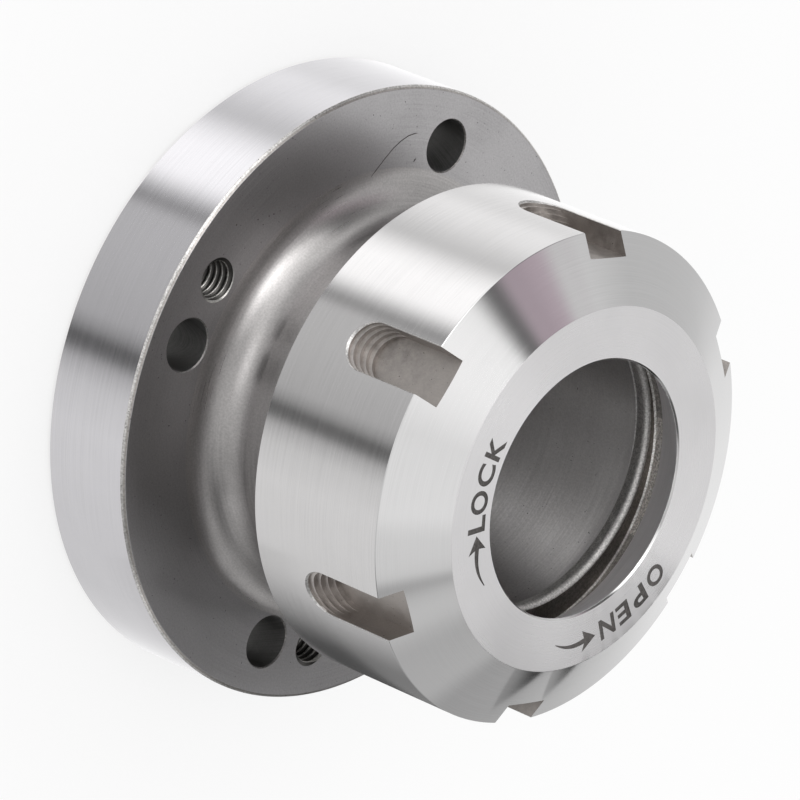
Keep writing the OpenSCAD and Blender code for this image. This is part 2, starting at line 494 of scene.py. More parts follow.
class Bench:
    """Modelling by hand: each call is one step on one object."""

    SLIVER_DEPTHS = 3

    def __init__(self, finishes: Finishes) -> None:
        """Keeps the finishes."""
        self.finishes = finishes

    @staticmethod
    def alone(piece: bpy.types.Object) -> None:
        """Makes a piece the only selected one."""
        bpy.ops.object.select_all(action="DESELECT")
        piece.select_set(True)
        bpy.context.view_layer.objects.active = piece

    def edit(self, piece: bpy.types.Object) -> None:
        """Opens a piece in edit mode with nothing selected."""
        self.alone(piece)
        bpy.ops.object.mode_set(mode="EDIT")
        bpy.ops.mesh.select_mode(type="VERT")
        bpy.ops.mesh.select_all(action="DESELECT")

    @staticmethod
    def close() -> None:
        """Leaves edit mode."""
        bpy.ops.object.mode_set(mode="OBJECT")

    def pick(self, piece: bpy.types.Object, test: Callable[[Vector], bool]) -> None:
        """Opens a piece with only the chosen vertices selected.

        Args:
            piece: The piece.
            test: Says whether a vertex at a place is chosen.
        """
        self.edit(piece)
        self.close()
        for vertex in piece.data.vertices:
            vertex.select = test(vertex.co)
        bpy.ops.object.mode_set(mode="EDIT")

    def skin(self, piece: bpy.types.Object, steel: Steel) -> int:
        """The slot of a finish on a piece, added on first use.

        Args:
            piece: The piece.
            steel: The finish.

        Returns:
            The slot's index.
        """
        material = self.finishes.of(steel)
        names = [slot.name for slot in piece.material_slots]
        if material.name not in names:
            piece.data.materials.append(material)
            names.append(material.name)
        return names.index(material.name)

    def turn(self, name: str, outline: Outline, steps: int) -> bpy.types.Object:
        """Turns an outline into a closed piece.

        Args:
            name: The piece's name.
            outline: The half section.
            steps: Steps of the full turn.

        Returns:
            The new piece.
        """
        bands = []
        for steel, run in outline.runs():
            band = self.draw([Vector((point.x, 0.0, point.y)) for point in run])
            self.skin(band, steel)
            self.screw(band, steps)
            bands.append(band)
        piece = self.join(bands)
        piece.name = piece.data.name = name
        self.edit(piece)
        self.weld()
        self.close()
        for shift, points in outline.shifted().items():
            self.shift_edges(piece, points, polar(shift * MM, outline.shift_angle))
        return piece

    def draw(self, points: Sequence[Vector]) -> bpy.types.Object:
        """Draws a line by extruding a vertex from point to point.

        Args:
            points: The line's points, in millimetres.

        Returns:
            The line.
        """
        places = [point * MM for point in points]
        bpy.ops.object.select_all(action="DESELECT")
        bpy.ops.mesh.primitive_plane_add(size=POINT)
        line = bpy.context.active_object
        self.edit(line)
        bpy.ops.mesh.select_all(action="SELECT")
        bpy.ops.mesh.merge(type="CENTER")
        bpy.ops.transform.translate(value=places[0])
        for start, end in zip(places, places[1:]):
            bpy.ops.mesh.extrude_vertices_move(TRANSFORM_OT_translate={"value": end - start})
        self.close()
        return line

    def screw(self, line: bpy.types.Object, steps: int, rise: float = 0.0, turns: int = 1) -> None:
        """Turns a line round the axis.

        Args:
            line: The line, which becomes the surface.
            steps: Steps of a full turn.
            rise: Rise for each turn, in millimetres.
            turns: Number of turns.
        """
        self.alone(line)
        bpy.ops.object.modifier_add(type="SCREW")
        screw = line.modifiers[-1]
        screw.angle = FULL_TURN
        screw.screw_offset = rise * MM
        screw.iterations = turns
        screw.steps = screw.render_steps = steps
        bpy.ops.object.modifier_apply(modifier=screw.name)

    @staticmethod
    def weld() -> None:
        """Merges doubles and turns all faces outwards, in edit mode."""
        bpy.ops.mesh.select_all(action="SELECT")
        bpy.ops.mesh.remove_doubles(threshold=MERGE)
        bpy.ops.mesh.normals_make_consistent(inside=False)

    def shift_edges(self, piece: bpy.types.Object, points: Sequence[Vector], shift: Vector) -> None:
        """Moves turned edges off centre.

        Args:
            piece: The piece.
            points: Each edge's distance from the axis and height, in millimetres.
            shift: The move, in metres.
        """
        def on_edge(place: Vector) -> bool:
            """Whether a vertex lies on one of the edges."""
            here = Vector((math.hypot(place.x, place.y), place.z))
            return any((here - point * MM).length < MERGE for point in points)

        self.pick(piece, on_edge)
        bpy.ops.transform.translate(value=shift)
        self.close()

    def combine(self, piece: bpy.types.Object, other: bpy.types.Object, operation: str) -> bpy.types.Modifier:
        """Puts a Boolean of two pieces on the first one.

        Args:
            piece: The piece that stays.
            other: The other piece.
            operation: What the Boolean does.

        Returns:
            The modifier, not yet applied.
        """
        self.alone(piece)
        bpy.ops.object.modifier_add(type="BOOLEAN")
        modifier = piece.modifiers[-1]
        modifier.operation = operation
        modifier.solver = "EXACT"
        modifier.object = other
        return modifier

    def cut(self, piece: bpy.types.Object, cutter: bpy.types.Object) -> None:
        """Cuts a piece with a cutter, which is used up.

        Args:
            piece: The piece, which takes the cutter's finish on the new walls.
            cutter: The cutter.
        """
        modifier = self.combine(piece, cutter, "DIFFERENCE")
        modifier.material_mode = "TRANSFER"
        bpy.ops.object.modifier_apply(modifier=modifier.name)
        bpy.data.objects.remove(cutter, do_unlink=True)

    def fuse(self, piece: bpy.types.Object, other: bpy.types.Object) -> None:
        """Fuses another piece into a piece.

        Args:
            piece: The piece that stays.
            other: The piece that is used up.
        """
        modifier = self.combine(piece, other, "UNION")
        bpy.ops.object.modifier_apply(modifier=modifier.name)
        bpy.data.objects.remove(other, do_unlink=True)

    def sliver(self, points: Sequence[Vector], depth: float) -> bpy.types.Object:
        """A thin flat cutter over a closed line, which stands out of the face that it cuts.

        Args:
            points: The line's points on the cut's floor, in millimetres.
            depth: Depth of the cut, in millimetres.

        Returns:
            The cutter.
        """
        solid = self.draw(points)
        self.edit(solid)
        bpy.ops.mesh.select_all(action="SELECT")
        bpy.ops.mesh.edge_face_add()
        bpy.ops.mesh.quads_convert_to_tris()
        height = self.SLIVER_DEPTHS * depth * MM
        bpy.ops.mesh.extrude_region_move(TRANSFORM_OT_translate={"value": (0, 0, height)})
        self.weld()
        self.close()
        self.skin(solid, ETCHED)
        return solid

    def copies(self, piece: bpy.types.Object, count: int, first: float) -> bpy.types.Object:
        """Copies a piece evenly round the axis and joins the copies.

        Args:
            piece: The piece, which is used up.
            count: Number of copies.
            first: Place of the first copy, in degrees.

        Returns:
            The joined copies.
        """
        made = []
        for index in range(count):
            copy = piece.copy()
            copy.data = piece.data.copy()
            bpy.context.collection.objects.link(copy)
            copy.rotation_euler.z = math.radians(first + index * 360 / count)
            made.append(copy)
        bpy.data.objects.remove(piece, do_unlink=True)
        return self.join(made)

    def join(self, pieces: Sequence[bpy.types.Object]) -> bpy.types.Object:
        """Joins pieces into the first one, with their places applied.

        Args:
            pieces: The pieces.

        Returns:
            The joined piece.
        """
        self.alone(pieces[0])
        for piece in pieces:
            piece.select_set(True)
        bpy.ops.object.transform_apply(location=True, rotation=True, scale=True)
        if len(pieces) > 1:
            bpy.ops.object.join()
        return bpy.context.active_object

    def smooth(self, piece: bpy.types.Object) -> None:
        """Shades a piece smooth, apart from its sharp edges, with its broad faces kept flat."""
        self.alone(piece)
        bpy.ops.object.shade_smooth_by_angle(angle=math.radians(SMOOTH_ANGLE))
        bpy.ops.object.modifier_add(type="WEIGHTED_NORMAL")
        weighted = piece.modifiers[-1]
        weighted.keep_sharp = True
        bpy.ops.object.modifier_apply(modifier=weighted.name)


@dataclass
class FlangeHole:
    """A fixing hole through the flange, in millimetres.

    Attributes:
        bench: Where it is made.
        flange_t: Thickness of the flange.
        radius: Radius of the hole.
        chamfer: Chamfer at both mouths.
        skin: Finish of its wall.
        rim: Finish of its chamfers.
        overrun: How far the drill stands out of the flange.
        sides: Sides of the drill.
    """

    bench: Bench
    flange_t: float
    radius: float
    chamfer: float
    skin: Steel = DRILLED
    rim: Steel = HOLE_RIM
    overrun: float = 1.0
    sides: int = 72

    def drill(self, centre_r: float) -> bpy.types.Object:
        """A drill with both countersinks.

        Args:
            centre_r: Distance of the hole's centre from the axis.

        Returns:
            The cutter.
        """
        bpy.ops.object.select_all(action="DESELECT")
        bpy.ops.mesh.primitive_cylinder_add(
            vertices=self.sides, radius=self.radius * MM, depth=(self.flange_t - 2 * self.chamfer) * MM,
            end_fill_type="NGON", location=(centre_r * MM, 0, self.flange_t / 2 * MM))
        cutter = bpy.context.active_object
        self.bench.join([cutter])
        reach = self.chamfer + self.overrun
        growth = (self.radius + reach) / self.radius
        for up in (1, -1):
            self.bench.pick(cutter, lambda place: (place.z - self.flange_t / 2 * MM) * up > 0)
            bpy.ops.mesh.extrude_region_move(TRANSFORM_OT_translate={"value": (0, 0, up * reach * MM)})
            bpy.ops.transform.resize(
                value=(growth, growth, 1), center_override=(centre_r * MM, 0, self.flange_t / 2 * MM))
            self.bench.close()
        self.bench.skin(cutter, self.skin)
        rim = self.bench.skin(cutter, self.rim)
        for face in cutter.data.polygons:
            if UPRIGHT < abs(face.normal.z) < FLAT:
                face.material_index = rim
        return cutter


@dataclass
class ThreadTap:
    """A metric tap that cuts a right-hand thread, in millimetres.

    Attributes:
        bench: Where it is made.
        major_r: Radius at the thread's roots in the hole.
        pitch: Rise for each turn.
        low: Height of its lower end.
        high: Height of its upper end.
        crest_break: Width of the broken edge above each crest.
        overcut: How far the tap reaches into the hole.
        sides: Steps of a full turn.
        depth: Depth of the thread, as a share of the pitch.
        crest: Flat of the crest, as a share of the pitch.
        flank: Rise of one flank, as a share of the pitch.
        root: Flat of the root, as a share of the pitch.
    """

    bench: Bench
    major_r: float
    pitch: float
    low: float
    high: float
    crest_break: float = 0.06
    overcut: float = 0.02
    sides: int = 48
    depth: float = 0.5413
    crest: float = 0.25
    flank: float = 0.3125
    root: float = 0.125

    def minor_r(self) -> float:
        """Radius of the thread's crests in the hole."""
        return self.major_r - self.depth * self.pitch

    def make(self, centre_r: float) -> bpy.types.Object:
        """The tap at its distance from the axis.

        Args:
            centre_r: Distance of its centre from the axis.

        Returns:
            The cutter.
        """
        bench = self.bench
        start = self.low - 2 * self.pitch
        minor, major = self.minor_r(), self.major_r
        inner, broken = minor - self.overcut, minor + self.crest_break
        rise = (self.crest_break + self.overcut) / self.pitch
        top = self.crest + self.flank
        tooth = ((inner, 0.0), (inner, self.crest - rise), (broken, self.crest), (major, top),
                 (major, top + self.root), (inner, 1.0))
        tap = bench.draw([Vector((r, 0.0, start + share * self.pitch)) for r, share in tooth])
        turns = math.ceil((self.high - start) / self.pitch) + 1
        bench.screw(tap, self.sides, self.pitch, turns)
        bench.edit(tap)
        bench.weld()
        for height, below in ((self.low, True), (self.high, False)):
            bpy.ops.mesh.select_all(action="SELECT")
            bpy.ops.mesh.bisect(
                plane_co=(0, 0, height * MM), plane_no=(0, 0, 1), use_fill=True,
                clear_inner=below, clear_outer=not below, threshold=POINT)
        bench.weld()
        bench.close()
        bench.skin(tap, THREAD_FLANK_SHADE)
        crest = bench.skin(tap, THREAD_CREST)
        for face in tap.data.polygons:
            if math.hypot(face.center.x, face.center.y) < broken * MM and abs(face.normal.z) < FLAT:
                face.material_index = crest
        tap.location.x = centre_r * MM
        return bench.join([tap])


@dataclass(frozen=True)
class Scratch:
    """A fine line cut into a flat face, in millimetres and degrees.

    Attributes:
        path: Distance from the axis and angle of each of its points.
        width: Its width in the middle.
    """

    path: Sequence[tuple[float, float]]
    width: float


HAIRLINE = Scratch(((28.7, -21.1), (30.1, -24.2), (31.6, -27.0), (32.5, -28.9), (33.3, -31.1), (33.8, -33.1),
                    (33.9, -34.9)), 0.15)
NICKS = (
    Scratch(((30.15, -35.6), (30.75, -36.2)), 0.30),
    Scratch(((35.6, 18.6), (35.8, 19.0)), 0.26),
    Scratch(((33.3, 14.0), (33.5, 14.2)), 0.22),
    Scratch(((32.3, 11.2), (32.5, 11.4)), 0.22),
    Scratch(((31.9, 9.9), (32.2, 10.1)), 0.20),
    Scratch(((31.6, 8.1), (31.8, 8.3)), 0.20),
)


@dataclass
class ChuckBody:
    """The turned body: flange, cove, neck, nose and collet taper, in millimetres.

    Attributes:
        bench: Where it is made.
        bright_share: Share of the front chamfer that is bright and narrow, next to the rim.
        hole_edge: Distance of the bolt circle from the rim.
        register_wall: Distance of the register from the bolt circle.
        taper_chamfer_share: Width of the taper's chamfer, as a share of its depth.
        edge: Radius of the broken corners.
        steps: Steps of the full turn.
    """

    bench: Bench
    front_chamfer: float = 0.42
    bright_share: float = 0.5
    back_chamfer: float = 0.5
    flange_t: float = 13.5
    register_depth: float = 3.5
    hole_edge: float = 7.0
    register_wall: float = 5.5
    plain_hole_d: float = 6.8
    plain_hole_count: int = 4
    plain_hole_angle: float = 45.0
    tapped_hole_d: float = 6.0
    tapped_hole_count: int = 3
    tapped_hole_angle: float = 30.0
    tapped_pitch: float = 1.0
    tapped_chamfer: float = 0.3
    hole_chamfer: float = 0.15
    neck_d: float = 48.4
    cove_r: float = 5.3
    thread_d: float = 49.0
    thread_len: float = 15.5
    thread_chamfer: float = 0.8
    taper_mouth_d: float = 40.6
    taper_half_angle: float = 8.0
    taper_len: float = 34.0
    taper_chamfer: float = 0.4
    taper_chamfer_share: float = 0.9
    through_d: float = 30.0
    tap_overrun: float = 1.0
    scratch_depth: float = 0.04
    edge: float = 0.12
    steps: int = 360

    def __post_init__(self) -> None:
        """Takes the overall sizes from the frame."""
        _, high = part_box("chuck_body")
        self.flange_r = high[0] / MM
        self.nose_z = high[2] / MM
        self.bolt_circle_r = self.flange_r - self.hole_edge

    def outline(self) -> Outline:
        """The body's half section."""
        edge = self.edge
        neck_r, thread_r, through_r = self.neck_d / 2, self.thread_d / 2, self.through_d / 2
        register_r = self.bolt_circle_r - self.register_wall
        thread_z = self.nose_z - self.thread_len
        taper_z = self.nose_z - self.taper_len
        slope = math.tan(math.radians(self.taper_half_angle))
        mouth_r = self.taper_mouth_d / 2
        front_z = self.nose_z
        worn_from = self.front_chamfer * self.bright_share
        return Outline([
            Corner(register_r + self.back_chamfer, 0, GROUND_BACK, edge),
            Corner(self.flange_r - self.back_chamfer, 0, WORN_EDGE, edge),
            Corner(self.flange_r, self.back_chamfer, GROUND_RIM, edge),
            Corner(self.flange_r, self.flange_t - self.front_chamfer, RIM_LINE, edge),
            Corner(self.flange_r - worn_from, self.flange_t - self.front_chamfer + worn_from, WORN_EDGE),
            Corner(self.flange_r - self.front_chamfer, self.flange_t, SATIN_FACE, edge),
            Corner(neck_r, self.flange_t, SATIN_COVE, self.cove_r),
            Corner(neck_r, self.flange_t + self.cove_r + edge, SATIN_NECK),
            Corner(neck_r, thread_z, TURNED_INSIDE),
            Corner(thread_r, thread_z + thread_r - neck_r, TURNED_INSIDE),
            Corner(thread_r, front_z - self.thread_chamfer, TURNED_INSIDE, edge),
            Corner(thread_r - self.thread_chamfer, front_z, TURNED_INSIDE, edge),
            Corner(mouth_r + self.taper_chamfer * self.taper_chamfer_share, front_z, RING_EDGE, edge),
            Corner(mouth_r - self.taper_chamfer * slope, front_z - self.taper_chamfer, GROUND_TAPER, edge),
            Corner(mouth_r - self.taper_len * slope, taper_z, TURNED_INSIDE, edge),
            Corner(through_r, taper_z, TURNED_INSIDE, edge),
            Corner(through_r, self.register_depth, TURNED_INSIDE, edge),
            Corner(register_r, self.register_depth, TURNED_INSIDE, edge),
            Corner(register_r, self.back_chamfer, WORN_EDGE, edge),
        ])

    def scratch(self, scratch: Scratch) -> bpy.types.Object:
        """One fine line on the flange's face, pointed at both ends.

        Args:
            scratch: The line.

        Returns:
            The cutter.
        """
        floor = Vector((0, 0, self.flange_t - self.scratch_depth))
        path = [polar(radius, angle) + floor for radius, angle in scratch.path]
        sides: list[list[Vector]] = []
        for side in (1, -1):
            line = []
            for before, after in zip(path, path[1:]):
                across = Vector((before.y - after.y, after.x - before.x, 0)).normalized()
                line.append((before + after) / 2 + across * (side * scratch.width / 2))
            sides.append(line)
        return self.bench.sliver([path[0], *sides[0], path[-1], *reversed(sides[1])], self.scratch_depth)

    def build(self) -> bpy.types.Object:
        """Turns the body, drills its holes and taps three of them.

        Returns:
            The body's mesh object.
        """
        bench = self.bench
        body = bench.turn("chuck_body_steel", self.outline(), self.steps)
        plain = FlangeHole(bench, self.flange_t, self.plain_hole_d / 2, self.hole_chamfer)
        places = (self.plain_hole_count, self.plain_hole_angle)
        bench.cut(body, bench.copies(plain.drill(self.bolt_circle_r), *places))
        tap = ThreadTap(bench, self.tapped_hole_d / 2, self.tapped_pitch,
                        -self.tap_overrun, self.flange_t + self.tap_overrun)
        tapped = FlangeHole(
            bench, self.flange_t, tap.minor_r(), self.tapped_chamfer, THREAD_CREST, THREAD_CREST)
        places = (self.tapped_hole_count, self.tapped_hole_angle)
        bench.cut(body, bench.copies(tapped.drill(self.bolt_circle_r), *places))
        bench.cut(body, bench.copies(tap.make(self.bolt_circle_r), *places))
        bench.cut(body, bench.join([self.scratch(scratch) for scratch in (HAIRLINE, *NICKS)]))
        bench.smooth(body)
        return body


@dataclass(frozen=True)
class Word:
    """A word cut into the nut's face, read clockwise from the front, in millimetres and degrees.

    Attributes:
        letters: Each letter with the angle where it starts and the angle where it ends.
        foot_r: Distance of the letters' feet from the axis.
        tip: Distance from the axis and angle of the arrow's tip.
        tail: Distance from the axis and angle of the arrow's tail.
    """

    letters: Sequence[tuple[str, float, float]]
    foot_r: float
    tip: tuple[float, float]
    tail: tuple[float, float]


LOCK = Word((("L", 72.0, 65.5), ("O", 64.8, 55.7), ("C", 54.1, 45.6), ("K", 43.8, 35.6)), 17.6,
            (19.0, 73.2), (18.9, 95.0))
OPEN = Word((("O", 206.4, 198.4), ("P", 196.2, 189.2), ("E", 187.2, 181.0), ("N", 179.4, 171.8)), 18.9,
            (20.5, 169.5), (20.0, 149.2))


@dataclass
class ClampingNut:
    """The clamping nut with its slots, its off-centre ring and its marks, in millimetres and degrees.

    Attributes:
        bench: Where it is made.
        ring_z: Height of the ring's back face.
        ring_lip: Radius of the ring's rounded front edge.
        ring_shift_angle: Direction in which the ring lies off centre.
        corner_highlight: Width of the painted highlight line in the groove's back corner.
        corner_highlight_reach: Where the painted highlight line starts and ends.
        wall_highlight_reach: Where the painted highlight on the groove's scored wall starts and ends.
        terrace_count: Number of steps at a slot's closed end.
        terrace_run: Length that the steps take together.
        slot_edge: Width of a slot's broken edge.
        overrun: How far the milling cutters stand out of the nut.
        cap_height: Height of the letters.
        letter_swell: How far the font's outline is thickened.
        etch_depth: Depth of the marks.
        edge: Radius of the broken corners.
        steps: Steps of the full turn.
    """

    bench: Bench
    back_chamfer: float = 0.3
    face_d: float = 46.6
    bevel_angle: float = 30.0
    thread_bore_d: float = 49.08
    relief_depth: float = 0.8
    relief_w: float = 2.0
    ring_z: float = 43.2
    mouth_d: float = 33.0
    mouth_chamfer: float = 0.24
    press_end_d: float = 38.5
    groove_d: float = 41.8
    groove_w: float = 2.4
    groove_shift: float = 0.7
    corner_highlight: float = 0.2
    corner_highlight_reach: tuple[float, float] = (-146.0, 20.0)
    wall_highlight_reach: tuple[float, float] = (-147.0, -104.0)
    ring_front_d: float = 36.4
    ring_back_d: float = 38.0
    ring_w: float = 2.2
    ring_lip: float = 0.7
    ring_shift: float = 1.0
    ring_shift_angle: float = -49.0
    slot_count: int = 6
    slot_angle: float = 30.0
    slot_w: float = 6.5
    slot_depth: float = 3.0
    slot_len: float = 17.5
    terrace_count: int = 5
    terrace_run: float = 2.5
    slot_edge: float = 0.11
    slot_sides: int = 48
    overrun: float = 1.0
    cap_height: float = 2.9
    letter_swell: float = 0.028
    letter_curve_steps: int = 6
    etch_depth: float = 0.05
    edge: float = 0.15
    steps: int = 600

    def __post_init__(self) -> None:
        """Takes the overall sizes from the frame."""
        low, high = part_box("clamping_nut")
        self.back_z = low[2] / MM
        self.front_z = high[2] / MM
        self.nut_r = (high[0] - low[0]) / 2 / MM

    def outline(self) -> Outline:
        """The nut's half section."""
        edge = self.edge
        bore_r = self.thread_bore_d / 2
        relief_r = bore_r + self.relief_depth
        face_r, mouth_r, press_end_r = self.face_d / 2, self.mouth_d / 2, self.press_end_d / 2
        bevel_z = self.front_z - (self.nut_r - face_r) * math.tan(math.radians(self.bevel_angle))
        groove_z = self.ring_z + self.ring_w
        press_z = groove_z + self.groove_w
        line = self.corner_highlight
        return Outline([
            Corner(relief_r, self.back_z, GROUND_NUT, edge),
            Corner(self.nut_r - self.back_chamfer, self.back_z, GROUND_NUT, edge / 2),
            Corner(self.nut_r, self.back_z + self.back_chamfer, GROUND_NUT, edge / 2),
            Corner(self.nut_r, bevel_z, GROUND_BEVEL, edge),
            Corner(face_r, self.front_z, GROUND_FACE, edge),
            Corner(mouth_r + self.mouth_chamfer, self.front_z, GROUND_BEVEL, edge / 2),
            Corner(mouth_r, self.front_z - self.mouth_chamfer, PRESS_CONE, edge / 2),
            Corner(press_end_r, press_z, GROOVE_PAINTED_SHADE, edge / 2),
            Corner(self.groove_d / 2, press_z, SCORED_WALL_HIGHLIGHT, 0, -self.groove_shift),
            Corner(self.groove_d / 2, groove_z + line, CORNER_HIGHLIGHT, 0, -self.groove_shift),
            Corner(self.groove_d / 2 - line, groove_z, GROOVE_PAINTED_SHADE, 0, -self.groove_shift),
            Corner(self.ring_front_d / 2, groove_z, RING_EDGE, self.ring_lip, self.ring_shift),
            Corner(self.ring_back_d / 2, self.ring_z, TURNED_INSIDE, edge / 2, self.ring_shift),
            Corner(relief_r, self.ring_z, TURNED_INSIDE),
            Corner(relief_r, self.ring_z - self.relief_w, TURNED_INSIDE),
            Corner(bore_r, self.ring_z - self.relief_w - self.relief_depth, TURNED_INSIDE),
            Corner(bore_r, self.back_z + self.relief_depth, TURNED_INSIDE),
        ], self.ring_shift_angle)

    def slot_solid(self, inner: tuple[float, float], outer: tuple[float, float],
                   end_z: float) -> bpy.types.Object:
        """A slot-shaped solid that is round at its closed end and open at the nut's face.

        Args:
            inner: Distance from the axis and half width of its inner face.
            outer: Distance from the axis and half width of its outer face.
            end_z: Height of the round end's centre.

        Returns:
            The solid, on the +X side.
        """
        flat_share = math.cos(math.pi / self.slot_sides)
        lying = Matrix.Rotation(math.pi / 2, 3, "Y") @ Matrix.Rotation(math.pi / self.slot_sides, 3, "Z")
        bpy.ops.object.select_all(action="DESELECT")
        bpy.ops.mesh.primitive_cone_add(
            vertices=self.slot_sides, radius1=inner[1] / flat_share * MM, radius2=outer[1] / flat_share * MM,
            depth=(outer[0] - inner[0]) * MM, location=((outer[0] + inner[0]) / 2 * MM, 0, end_z * MM),
            rotation=lying.to_euler())
        solid = bpy.context.active_object
        self.bench.join([solid])
        self.bench.pick(solid, lambda place: place.z > end_z * MM)
        bpy.ops.transform.translate(value=(0, 0, (self.front_z + self.overrun - end_z) * MM))
        self.bench.close()
        return solid

    def slot_cutter(self) -> bpy.types.Object:
        """The milling path of one slot, with the steps at its closed end.

        Returns:
            The cutter, on the +X side.
        """
        bench = self.bench
        nesting = 0.005
        first_z = self.front_z - self.slot_len + self.slot_w / 2
        cutter = None
        for level in range(self.terrace_count):
            inside = nesting * level
            floor_r = self.nut_r - (level + 1) * self.slot_depth / self.terrace_count
            half = self.slot_w / 2 - inside
            step = self.slot_solid((floor_r, half), (self.nut_r + self.overrun - inside, half),
                                   first_z + level * self.terrace_run / (self.terrace_count - 1))
            if cutter is None:
                cutter = step
            else:
                bench.fuse(cutter, step)
        bench.skin(cutter, MILLED)
        stepped = bench.skin(cutter, MILLED_STEP)
        for face in cutter.data.polygons:
            if face.normal.x < -FLAT and face.center.x > (self.nut_r - self.slot_depth + nesting) * MM:
                face.material_index = stepped
        return cutter

    def edge_cutter(self) -> bpy.types.Object:
        """The flared tool that breaks one slot's edge.

        Returns:
            The cutter, on the +X side.
        """
        half, nesting = self.slot_w / 2, 0.01
        edge_r = math.sqrt(self.nut_r ** 2 - half ** 2)
        inner_r, outer_r = edge_r - self.slot_edge, self.nut_r + self.overrun
        cutter = self.slot_solid((inner_r, half - nesting), (outer_r, half + outer_r - inner_r),
                                 self.front_z - self.slot_len + half)
        self.bench.skin(cutter, BROKEN_EDGE)
        return cutter

    def letter(self, body: str, start: float, end: float, foot_r: float) -> bpy.types.Object:
        """One letter as a solid that reaches into the nut's face.

        Args:
            body: The letter.
            start: Angle of its left side.
            end: Angle of its right side.
            foot_r: Distance of its foot from the axis.

        Returns:
            The cutter.
        """
        bench = self.bench
        bpy.ops.object.select_all(action="DESELECT")
        bpy.ops.object.text_add(location=(0, 0, 0))
        glyph = bpy.context.active_object
        glyph.data.body = body
        glyph.data.offset = self.letter_swell
        glyph.data.resolution_u = self.letter_curve_steps
        glyph.data.extrude = 0.5
        bpy.ops.object.convert(target="MESH")
        corners = [Vector(corner) for corner in glyph.bound_box]
        low = Vector(min(corner[i] for corner in corners) for i in range(3))
        high = Vector(max(corner[i] for corner in corners) for i in range(3))
        middle_r = foot_r + self.cap_height / 2
        width = 2 * middle_r * math.sin(math.radians(start - end) / 2)
        size = Vector((width, self.cap_height, 4 * self.etch_depth)) * MM
        scale = Matrix.Diagonal([size[i] / (high[i] - low[i]) for i in range(3)]).to_4x4()
        turn = Matrix.Rotation(math.radians((start + end) / 2 - 90), 4, "Z")
        lift = Vector((0, 0, (self.front_z + self.etch_depth) * MM))
        place = Matrix.Translation(polar(middle_r * MM, (start + end) / 2) + lift)
        glyph.matrix_world = place @ turn @ scale @ Matrix.Translation(-(low + high) / 2)
        bench.join([glyph])
        bench.edit(glyph)
        bench.weld()
        bench.close()
        bench.skin(glyph, ETCHED)
        return glyph

    def arrow(self, word: Word) -> bpy.types.Object:
        """The barbed arrow beside a word, with a shaft that thins towards its tail.

        Args:
            word: The word that it belongs to.

        Returns:
            The cutter.
        """
        head_len, head_half, neck_half, tail_half, bow = 6.6, 1.45, 0.36, 0.06, 0.35
        notch_share, thinning, shaft_steps = 0.85, 1.3, 12
        tip_r, tip_angle = word.tip
        tail_r, tail_angle = word.tail
        way = math.copysign(1.0, tail_angle - tip_angle)
        barb_angle = tip_angle + way * head_len
        notch_angle = tip_angle + way * head_len * notch_share
        sides: list[list[Vector]] = []
        for side in (1, -1):
            line = [polar(tip_r + side * head_half, barb_angle)]
            for index in range(shaft_steps + 1):
                share = index / shaft_steps
                angle = notch_angle + (tail_angle - notch_angle) * share
                middle = tip_r + (tail_r - tip_r) * share + bow * math.sin(math.pi * share)
                half = neck_half + (tail_half - neck_half) * share ** thinning
                line.append(polar(middle + side * half, angle))
            sides.append(line)
        points = [polar(tip_r, tip_angle), *sides[0], *reversed(sides[1])]
        floor = Vector((0, 0, self.front_z - self.etch_depth))
        return self.bench.sliver([point + floor for point in points], self.etch_depth)

    def limit_painted_highlights(self, nut: bpy.types.Object) -> None:
        """Keeps the painted highlights in the groove, its bright corner line and the bright part of its wall,
        to the sectors where light falls on them.

        Args:
            nut: The turned nut.
        """
        skin = self.bench.skin
        dull = skin(nut, DULL_WALL)
        reach = {skin(nut, CORNER_HIGHLIGHT): self.corner_highlight_reach, skin(nut, SCORED_WALL_HIGHLIGHT): self.wall_highlight_reach}
        for face in nut.data.polygons:
            start, end = reach.get(face.material_index, (-180.0, 180.0))
            if not start < math.degrees(math.atan2(face.center.y, face.center.x)) < end:
                face.material_index = dull

    def build(self) -> bpy.types.Object:
        """Turns the nut, mills its slots and etches its marks.

        Returns:
            The nut's mesh object.
        """
        bench = self.bench
        nut = bench.turn("clamping_nut_steel", self.outline(), self.steps)
        # Painted highlights: the bright corner line and the bright part of the groove's wall stay only in the
        # sectors where light falls.
        self.limit_painted_highlights(nut)
        for cutter in (self.slot_cutter, self.edge_cutter):
            bench.cut(nut, bench.copies(cutter(), self.slot_count, self.slot_angle))
        marks = []
        for word in (LOCK, OPEN):
            marks += [self.letter(body, start, end, word.foot_r) for body, start, end in word.letters]
            marks.append(self.arrow(word))
        bench.cut(nut, bench.join(marks))
        bench.smooth(nut)
        return nut


@dataclass(frozen=True)
class Band:
    """A soft band of the studio seen in the steel.

    Attributes:
        azimuth: Direction where the band is full, in degrees.
        level: Brightness, where 1 is white.
        tint: Colour of the band.
    """

    azimuth: float
    level: float
    tint: tuple[float, float, float] = (1.0, 1.0, 1.0)


@dataclass(frozen=True)
class Ring:
    """Bands round the studio between two heights.

    Attributes:
        low: Sine of the elevation where the ring begins.
        high: Sine of the elevation where it ends.
        bands: Its bands in order, from -180 to 180 degrees.
    """

    low: float
    high: float
    bands: Sequence[Band]


MAUVE = (1.10, 0.92, 1.02)

LEFT_WALL = (Band(-180, 0.60), Band(-160, 0.85), Band(-140, 1.05), Band(-120, 0.85), Band(-95, 0.66))
BACK_WALL = (Band(154, 0.72), Band(168, 0.64), Band(180, 0.60))

